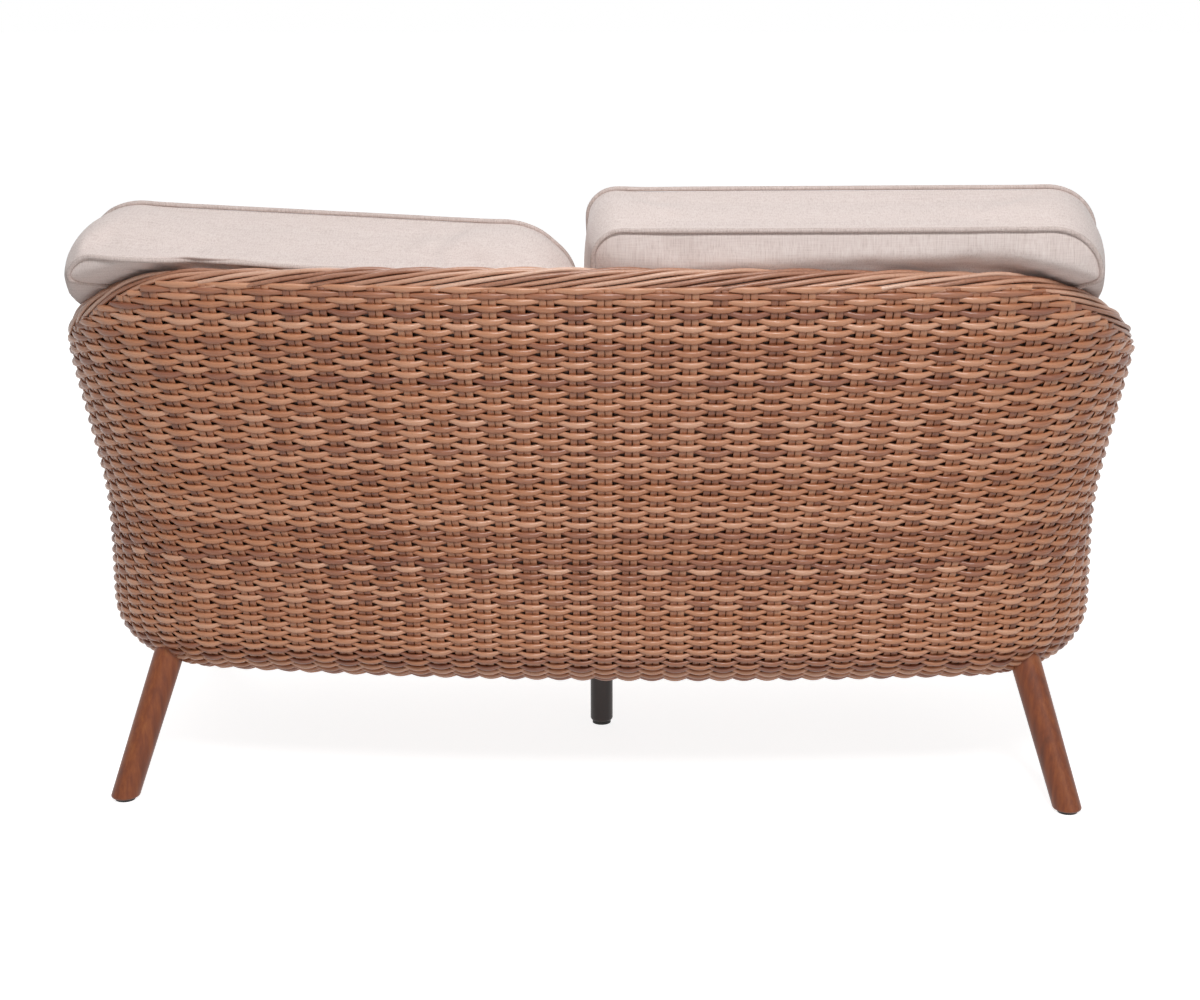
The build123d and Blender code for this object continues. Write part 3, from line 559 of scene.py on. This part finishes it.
def warp_runs(c0, c1, face, inner, low):
    """Pairs of flat upright strips, one pair for each column."""
    rng = random.Random(int(c0 * 7) + 5)
    runs = []
    way = -1.0 if inner else 1.0
    flat = np.array(((-STAKE_EDGE, 0.0), (-STAKE_FLAT, STAKE_THICK), (STAKE_FLAT, STAKE_THICK),
                     (STAKE_EDGE, 0.0), (STAKE_FLAT, -STAKE_THICK), (-STAKE_FLAT, -STAKE_THICK)))
    steps = np.arange(0, len(ROWS) - 0.4, 0.5)
    for column in range(math.ceil(c0 - 1e-6), math.ceil(c1 - 1e-6)):
        v = np.interp(steps, np.arange(len(ROWS)), ROWS)
        z = np.maximum(v - v_of(0), BOTTOM)
        s = column_s(column, z)
        keep = (z < rim_at(s) + rim_cut(s) + 1) & (z > low)
        lift = -1.35 * np.cos(math.pi * (column + steps)) + 0.2
        # Two stakes at the column, and wider near-black strips behind the weave: painted shade that
        # closes its gaps
        for shift, depth, width in ((-STAKE_SHIFT, lift, 1.0), (STAKE_SHIFT, lift, 1.0),
                                    (0, -5.4, 1.95), (PITCH / 2, -5.0, 1.95)):
            tone = rng.choice((0.3, 0.45, 0.5, 0.55, 0.6, 0.7)) + rng.uniform(-0.05, 0.05)
            tone = tone if width == 1 else PAINTED_SHADE_TONE
            drift = shift + rng.uniform(-0.4, 0.4)
            rings = np.stack([surface(s + drift + wide * width, v, -face + way * (depth + thick))
                              for wide, thick in flat], 1)
            for a, b in split_runs(keep & ((width == 1) | (z < rim_at(s) - 8))):
                if b - a > 2:
                    runs.append((rings[a:b], tone))
    return runs


def weave_zone(label, c0, c1, nodes, inner=False):
    """Weft and warp of one stretch of the shell, in place of its CAD skins."""
    face = WALL - 4.0 if inner else 4.0
    low = DECK_TOP + 4 if inner else 0
    parts, sides = (4, 6) if inner else (8, 8)
    weft = tube_mesh(f"{label}_weft", weft_runs(c0, c1, face, sides, inner, parts, low), weft_mat)
    warp = tube_mesh(f"{label}_warp", warp_runs(c0, c1, face, inner, low), stake_mat)
    for piece in (weft, warp):
        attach(piece, SHELL)
        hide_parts(*nodes)


def zones():
    """The weave of the whole shell, in a stretch for each CAD skin."""
    edge = [L_BOW / PITCH, L_CORNER / PITCH, L_ARM / PITCH, L_TIP / PITCH, COLUMNS / 2]
    weave_zone("outer_back_a", -edge[0] - PHASE, -PHASE, ["outer_back_weave"])
    weave_zone("outer_back_b", -PHASE, edge[0] - PHASE, ["outer_back_weave"])
    weave_zone("inner_back", -edge[0] - PHASE, edge[0] - PHASE, ["inner_back_weave"], True)
    for side, name in ((1, "left"), (-1, "right")):
        for label, i, inside in (("corner", 0, True), ("arm", 1, True), ("front_corner", 2, False)):
            ends = sorted((side * edge[i], side * edge[i + 1]))
            node = f"{label}_weave_{name}" if label == "front_corner" else f"outer_{label}_weave_{name}"
            weave_zone(f"outer_{label}_{name}", ends[0] - PHASE, ends[1] - PHASE, [node])
            if inside:
                weave_zone(f"inner_{label}_{name}", ends[0] - PHASE, ends[1] - PHASE,
                           [f"inner_{label}_weave_{name}"], True)
    weave_zone("apron_a", edge[3] - PHASE, edge[4] - PHASE, ["front_apron_weave"])
    weave_zone("apron_b", -edge[4] - PHASE, -edge[3] - PHASE, ["front_apron_weave"])


def rim_border():
    """Long strands wound round the top rail, rising to the right as seen from behind."""
    path = RAIL + (0, 0, 2.5)
    n = len(path)
    tangent = np.roll(path, -1, 0) - np.roll(path, 1, 0)
    tangent /= np.linalg.norm(tangent, axis=1)[:, None]
    # A direction across the rail that is carried along it, and the twist that closes the loop
    across = np.zeros_like(path)
    across[0] = (0, 1, 0)
    for i in range(1, n):
        a = across[i - 1] - tangent[i] * (across[i - 1] @ tangent[i])
        across[i] = a / np.linalg.norm(a)
    last = across[-1] - tangent[0] * (across[-1] @ tangent[0])
    up0 = np.cross(tangent[0], across[0])
    slip = math.atan2(last @ up0, last @ across[0])
    up = np.cross(tangent, across)
    spin = 2 * math.pi * BORDER_TURNS
    k = np.arange(n + 1) / n
    index = np.arange(n + 1) % n
    # The border is thicker along the seat front, where it meets the deck
    grow = np.interp(path[index, 2], (330, 450), (1.25, 1.0))
    rng = random.Random(4)
    runs = []
    for strand in range(BORDER_STRANDS):
        angle = spin * k - slip * k + 2 * math.pi * strand / BORDER_STRANDS
        sway = 1.5 * np.sin(2 * math.pi * (k * 31 + strand * 0.37))
        radius = (BORDER_R + sway) * grow
        ca, sa = np.cos(angle)[:, None], np.sin(angle)[:, None]
        out = across[index] * ca + up[index] * sa
        beside = -across[index] * sa + up[index] * ca
        centre = path[index] + out * radius[:, None]
        deep, wide = BORDER_STRAND
        ring = [centre + (out * (deep * math.cos(t)) + beside * (wide * math.sin(t))) * grow[:, None]
                for t in np.arange(8) * math.pi / 4 + 0.3]
        runs.append((np.stack(ring, 1), rng.choice((0.35, 0.5, 0.6, 0.7, 0.8, 0.9))))
    # Near-black core under the border's strands: painted shade in the gaps between them
    thick = grow[:, None]
    core = [path[index] + (across[index] * math.cos(t) + up[index] * math.sin(t)) * BORDER_CORE * thick
            for t in np.arange(8) * math.pi / 4]
    runs.append((np.stack(core, 1), PAINTED_SHADE_TONE))
    piece = tube_mesh("rim_border", runs, border_mat)
    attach(piece, SHELL)
    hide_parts("rim_border_back", "rim_border_front", "rim_border_corner_left",
                "rim_border_corner_right", "rim_border_arm_left", "rim_border_arm_right")


zones()
rim_border()


# Cushions

def plan_inset(x, y):
    """Distance inside the straight outer face, and the length round the plan."""
    ax = np.abs(x)
    bow = np.hypot(x, y - BOW_Y)
    bow_angle = np.arctan2(ax, y - BOW_Y)
    turn = np.hypot(ax - CORNER_X, y - CORNER_Y)
    turn_angle = np.arctan2(ax - CORNER_X, y - CORNER_Y)
    in_bow = bow_angle < BOW_A
    in_turn = ~in_bow & (y > CORNER_Y)
    inset = np.where(in_bow, BOW_R - bow, np.where(in_turn, BACK_R - turn, HALF_W - ax))
    s = np.where(in_bow, bow_angle * BOW_R, np.where(in_turn, L_BOW + (turn_angle - BOW_A) * BACK_R,
                                                     L_CORNER + CORNER_Y - y))
    radius = np.maximum(turn, 1)
    nx = np.where(in_bow, x / bow, np.where(in_turn, np.sign(x) * (ax - CORNER_X) / radius, np.sign(x)))
    ny = np.where(in_bow, (y - BOW_Y) / bow, np.where(in_turn, (y - CORNER_Y) / radius, 0))
    return inset, s, nx, ny


def keep_clear(points, over):
    """Moves points in from the weave below the rim and off the wound border above it. Over the
    rim they may stand out by the two lengths in over: at the back, and what is added sideways."""
    points = points.copy()
    for _ in range(2):
        inset, s, nx, ny = plan_inset(points[:, 0], points[:, 1])
        lean = plan(s)[4]
        z = points[:, 2]
        need = INNER_FACE - lean * np.maximum(z - LEAN_Z, 0)
        rim = rim_at(s)
        blend = np.clip((z - rim + LAP_START) / LAP_RISE, 0, 1)
        bulge = np.clip((z - rim - BULGE_RISE) / BULGE_RISE, 0, 1)
        reach = -over[0] - over[1] * np.abs(nx)
        swell = np.sqrt(1 - (1 - bulge) ** 2)
        need = need * (1 - blend) + (-RIM_LAP + (reach + RIM_LAP) * swell) * blend
        push = np.maximum(need - inset, 0)
        points[:, 0] -= nx * push
        points[:, 1] -= ny * push
        for i in np.flatnonzero((inset < 60) & (np.abs(z - rim) < 40)):
            near, _, gap = RAIL_TREE.find(points[i])
            if gap < BORDER_CLEAR:
                away = points[i] - np.array(near)
                points[i] += away * (BORDER_CLEAR / max(gap, 1) - 1)
    return points


def cushion_point(shape, a, b, t):
    """Point of a boxed cushion: a and b run over its panels, t through its thickness. The
    panels dome, the boxing between the seams draws in, and a slanting top is sheared."""
    w, h, r = shape["w"] / 2, shape["h"] / 2, shape["r"]
    pull = shape["draw"] * (1 - np.sin(math.pi * t)) if shape["draw"] else 0
    pull_x = pull + shape["narrow"] * (1 - t)
    x, y = a * (w - pull_x), b * (h - pull)
    rr = np.where(x > 0, np.where(y > 0, r[0], r[1]), np.where(y > 0, r[2], r[3]))
    rr = rr * (1 + shape["soft"] * (1 - t))
    dx = np.maximum(np.abs(x) - (w - pull_x) + rr, 0) / rr
    dy = np.maximum(np.abs(y) - (h - pull) + rr, 0) / rr
    # A square corner cell laid out as a round one
    sx = dx * np.sqrt(np.maximum(1 - dy * dy / 2, 0))
    sy = dy * np.sqrt(np.maximum(1 - dx * dx / 2, 0))
    x = np.sign(x) * (np.abs(x) - dx * rr + sx * rr)
    y = np.sign(y) * (np.abs(y) - dy * rr + sy * rr) + shape["rise"] * x * (b + 1) / 2
    dome = (1 - np.abs(a) ** 3.2) * (1 - np.abs(b) ** 2.6)
    rear, front = shape["crown"]
    z = t * shape["t"]
    z = np.where(t >= 1, z + front * dome, np.where(t <= 0, z - rear * dome, z))
    local = np.stack([x, y, z], -1)
    return shape["origin"] + local @ shape["axes"]


def cushion_grid(shape):
    """Closed quad grid over the two panels and the boxing band."""
    nu, nv, nt = shape["grid"]
    verts, lookup, faces = [], {}, []

    def vertex(i, j, k):
        key = (i, j, k)
        if key not in lookup:
            lookup[key] = len(verts)
            verts.append((i / nu * 2 - 1, j / nv * 2 - 1, k / nt))
        return lookup[key]

    for k in (0, nt):
        for i in range(nu):
            for j in range(nv):
                corners = ((i, j), (i + 1, j), (i + 1, j + 1), (i, j + 1))
                face = [vertex(*corner, k) for corner in corners]
                faces.append(face if k else face[::-1])
    ring = [(i, 0) for i in range(nu)] + [(nu, j) for j in range(nv)] + \
           [(i, nv) for i in range(nu, 0, -1)] + [(0, j) for j in range(nv, 0, -1)]
    for k in range(nt):
        for n, here in enumerate(ring):
            there = ring[(n + 1) % len(ring)]
            faces.append([vertex(*here, k), vertex(*there, k),
                          vertex(*there, k + 1), vertex(*here, k + 1)])
    uvw = np.array(verts)
    seams = [[lookup[(i, j, k)] for i, j in ring] for k in (0, nt)]
    # Cells between a point and the nearest seam
    i, j, k = np.array(list(lookup)).T
    edge = np.minimum.reduce([i, nu - i, j, nv - j])
    rows = np.maximum(edge, np.minimum(k, nt - k))
    return cushion_point(shape, uvw[:, 0], uvw[:, 1], uvw[:, 2]), faces, seams, rows


def inflate(piece, rest, rows, cap):
    """Cloth pressure on the closed cover. The piped seams hold nearly still, and no point
    moves further than the cap."""
    frames = 20
    mod = piece.modifiers.new("cloth", "CLOTH")
    cloth = mod.settings
    cloth.quality = 6
    cloth.mass = 0.3
    cloth.tension_stiffness = 12
    cloth.compression_stiffness = 8
    cloth.shear_stiffness = 5
    cloth.bending_stiffness = 0.35
    cloth.shrink_min = -0.035
    cloth.use_pressure = True
    cloth.uniform_pressure_force = 3.5
    cloth.effector_weights.gravity = 0
    mod.collision_settings.use_collision = False
    mod.point_cache.frame_start, mod.point_cache.frame_end = 1, frames
    for number in range(1, frames + 1):
        bpy.context.scene.frame_set(number)
    deps = bpy.context.evaluated_depsgraph_get()
    swollen = piece.evaluated_get(deps).to_mesh()
    moved = np.empty(len(rest) * 3)
    swollen.vertices.foreach_get("co", moved)
    moved = moved.reshape(-1, 3) / MM
    piece.modifiers.remove(mod)
    bpy.context.scene.frame_set(1)
    step = moved - rest
    size = np.linalg.norm(step, axis=1)
    held = np.clip(0.2 + 0.2 * rows, 0, 1)
    limit = cap * np.tanh(size / cap) / np.maximum(size, 1e-6) * held
    return rest + step * limit[:, None]


def pipe_seams(name, lines, through, body):
    """Round piping along the seams of a cover, which is smoothed as a sewn-in cord is."""
    runs = []
    for line in lines:
        line = np.stack([sum(np.roll(line[:, k], j) for j in (-1, 0, 1)) / 3 for k in range(3)], -1)
        # Points halfway between the seam's own, on a curve through four of them
        fine = []
        count = len(line)
        for i in range(count):
            p0, p1, p2, p3 = (line[(i + j) % count] for j in (-1, 0, 1, 2))
            for t in (0.0, 0.5):
                fine.append(0.5 * (2 * p1 + (p2 - p0) * t + (2 * p0 - 5 * p1 + 4 * p2 - p3) * t * t
                                   + (3 * p1 - p0 - 3 * p2 + p3) * t ** 3))
        fine = np.array(fine + [fine[0]])
        tangent = np.gradient(fine, axis=0)
        tangent[0] = tangent[-1] = fine[1] - fine[-2]
        tangent /= np.linalg.norm(tangent, axis=1)[:, None]
        side = np.cross(tangent, through)
        side /= np.linalg.norm(side, axis=1)[:, None]
        up = np.cross(side, tangent)
        rings = [fine + (side * math.cos(t) + up * math.sin(t)) * PIPING_R
                 for t in np.arange(8) * math.pi / 4]
        runs.append((np.stack(rings, 1), 0.5))
    piping = tube_mesh(name, runs, piping_mat)
    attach(piping, body)


def make_cushion(name, shape, body, clear, cap=10.0):
    """One cover, closed, swollen and kept clear of its neighbours, with its piping."""
    rest, faces, seams, rows = cushion_grid(shape)
    mesh = bpy.data.meshes.new(name)
    mesh.from_pydata((rest * MM).tolist(), [], faces)
    mesh.update()
    piece = bpy.data.objects.new(name, mesh)
    bpy.context.collection.objects.link(piece)
    shaped = clear(inflate(piece, rest, rows, cap))
    mesh.vertices.foreach_set("co", (shaped * MM).ravel())
    mesh.update()
    mesh.polygons.foreach_set("use_smooth", np.full(len(mesh.polygons), True))
    mesh.materials.append(cover_mat)
    smooth = piece.modifiers.new("subdivision", "SUBSURF")
    smooth.levels = smooth.render_levels = 1
    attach(piece, body)
    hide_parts(name.replace("_cover", ""))
    normals = np.empty(len(shaped) * 3)
    mesh.vertices.foreach_get("normal", normals)
    normals = normals.reshape(-1, 3)
    lines = [shaped[ring] + normals[ring] * 1.2 for ring in seams]
    pipe_seams(f"{name}_piping", lines, shape["axes"][2], body)


def back_shape(inner_x, outer_x, top_z, tilt, lean, thick, radii, soft, narrow):
    """Back cushion that stands on the seat cushion and leans on the rim. tilt slants its top,
    soft changes the radii of its rear corners by a share, and narrow draws its rear in at
    the sides."""
    lean = math.radians(lean)
    across = np.array((1.0, 0, 0))
    forward = np.array((0, -math.cos(lean), math.sin(lean)))
    up = np.cross(forward, across)
    # Its lower edge starts 8 mm under the seat cushion's crown and is then pressed flat on it
    sunk, base_z, rear_y = 8, 456, 354.0
    height = (top_z - base_z) / math.cos(lean) + sunk
    top = np.array(((inner_x + outer_x) / 2, rear_y, top_z))
    return {"w": abs(outer_x - inner_x), "h": height, "t": thick, "r": radii, "draw": 6.0,
            "soft": soft, "narrow": narrow, "rise": math.tan(math.radians(tilt)),
            "crown": (12.0, 14.0), "grid": (76, 36, 14), "axes": np.stack([across, up, forward]),
            "origin": top - up * (height / 2 - sunk)}


def clear_back(side):
    """Keeps a back cushion off the rim, on its seat cushion and on its own side of the split."""
    def clear(points):
        points = keep_clear(points, (20.0, 120.0))
        points[:, 2] = np.maximum(points[:, 2], SEAT_TOP)
        points[:, 0] = side * np.maximum(side * points[:, 0], side * SPLIT_X + 0.9)
        return points
    return clear


# Inner and outer side of each seat cushion, and the radii of its corners, wide where it
# fits the tub's round corner
SEAT_SIDES = {1: (14.6, 659.0, (158.0, 45.0, 45.0, 45.0)),
              -1: (13.4, -631.0, (45.0, 45.0, 158.0, 45.0))}


def seat_shape(side):
    """Seat cushion: a level box of 115 mm with a domed top, from the split to the arm."""
    inner, outer, radii = SEAT_SIDES[side]
    return {"w": abs(outer - inner), "h": SEAT_DEPTH, "t": 115.0, "r": radii, "draw": 6.0,
            "soft": 0.0, "narrow": 0.0, "rise": 0.0,
            "crown": (0.0, 12.0), "grid": (56, 60, 10), "axes": np.eye(3),
            "origin": np.array(((inner + outer) / 2, SEAT_FRONT_Y + SEAT_DEPTH / 2, 326.0))}


def clear_seat(side):
    """Bends a seat cushion's rear to the bow of the back and keeps it off the weave, the deck,
    the back cushion above and its neighbour."""
    def clear(points):
        rear = np.clip((points[:, 1] - SEAT_FRONT_Y) / SEAT_DEPTH, 0, 1)
        points[:, 1] -= rear * points[:, 0] ** 2 / (2 * BOW_R)
        points = keep_clear(points, (-INNER_FACE, 0))
        points[:, 2] = np.clip(points[:, 2], SEAT_FLOOR, SEAT_CEILING)
        points[:, 1] = np.maximum(points[:, 1], SEAT_FRONT_Y - 3)
        points[:, 0] = side * np.maximum(side * points[:, 0], side * SEAT_SIDES[side][0])
        return points
    return clear


def make_cushions():
    """The left back cushion slumps back over the rim, and the right one stands higher."""
    for side, name in ((1, "left"), (-1, "right")):
        make_cushion(f"seat_cushion_{name}_cover", seat_shape(side), f"seat_{name}",
                     clear_seat(side), 8.0)
    left = back_shape(inner_x=22.0, outer_x=706.0, top_z=756.0, tilt=3.1, lean=20.0, thick=156.0,
                      radii=(90.0, 60.0, 95.0, 60.0), soft=-0.5, narrow=4.0)
    right = back_shape(inner_x=15.0, outer_x=-682.0, top_z=809.0, tilt=-0.5, lean=15.0, thick=143.0,
                       radii=(40.0, 60.0, 72.0, 60.0), soft=0.0, narrow=12.0)
    make_cushion("back_cushion_left_cover", left, "back_left", clear_back(1))
    make_cushion("back_cushion_right_cover", right, "back_right", clear_back(-1))


make_cushions()


# Stage and light

def seen_rays(tree):
    """One for a ray from the camera, a shiny face or a clear piece, and nought for light."""
    sight = 0.0
    for kind in ("Is Camera Ray", "Is Glossy Ray", "Is Transmission Ray"):
        ray = add_node(tree, "ShaderNodeLightPath", {}, kind)
        sight = add_node(tree, "ShaderNodeMath", {0: ray, 1: sight}, operation="MAXIMUM")
    return sight


def stage():
    """Wide white floor that keeps the shadow, under a plain white world."""
    mesh = bpy.data.meshes.new("floor")
    mesh.from_pydata([(-20, -20, 0), (20, -20, 0), (20, 20, 0), (-20, 20, 0)], [], [(0, 1, 2, 3)])
    floor = bpy.data.objects.new("floor", mesh)
    bpy.context.collection.objects.link(floor)
    mat, tree, shader = new_material("pale_floor")
    shader.inputs["Base Color"].default_value = srgb("#C8C8C8")
    shader.inputs["Roughness"].default_value = 0.9
    shader.inputs["Emission Color"].default_value = srgb("#FFFFFF")
    seen = seen_rays(tree)
    glow = add_node(tree, "ShaderNodeMath", {0: seen, 1: 0.76, 2: 0.1}, operation="MULTIPLY_ADD")
    tree.links.new(glow, shader.inputs["Emission Strength"])
    mesh.materials.append(mat)
    world = bpy.data.worlds.new("world")
    bpy.context.scene.world = world
    world.use_nodes = True
    tree = world.node_tree
    tree.nodes.clear()
    soft = add_node(tree, "ShaderNodeBackground", {"Color": srgb("#FAFCFF"), "Strength": 0.2})
    white = add_node(tree, "ShaderNodeBackground", {"Color": srgb("#FFFFFF"), "Strength": 1.0})
    blend = add_node(tree, "ShaderNodeMixShader", {0: seen_rays(tree), 1: soft, 2: white})
    tree.nodes.new("ShaderNodeOutputWorld")
    tree.links.new(blend, tree.nodes["World Output"].inputs["Surface"])


def area_light(name, place, target, size, energy):
    """Square lamp at a place in metres, aimed at a point of the seat."""
    data = bpy.data.lights.new(name, "AREA")
    data.size = size
    data.energy = energy
    lamp = bpy.data.objects.new(name, data)
    lamp.location = place
    lamp.rotation_euler = (Vector(target) - Vector(place)).to_track_quat("-Z", "Y").to_euler()
    bpy.context.collection.objects.link(lamp)


stage()
area_light("key", (-0.4, 2.7, 3.2), (0, 0.2, 0.45), 1.0, 76)
area_light("fill", (-2.6, 3.2, 1.6), (0, 0.2, 0.4), 2.0, 12)
area_light("top", (0.2, 0.2, 3.4), (0, 0.1, 0.5), 2.0, 16)
area_light("front", (0.8, -3.4, 2.4), (0, -0.2, 0.4), 2.2, 42)

bpy.context.scene.view_settings.view_transform = "Standard"
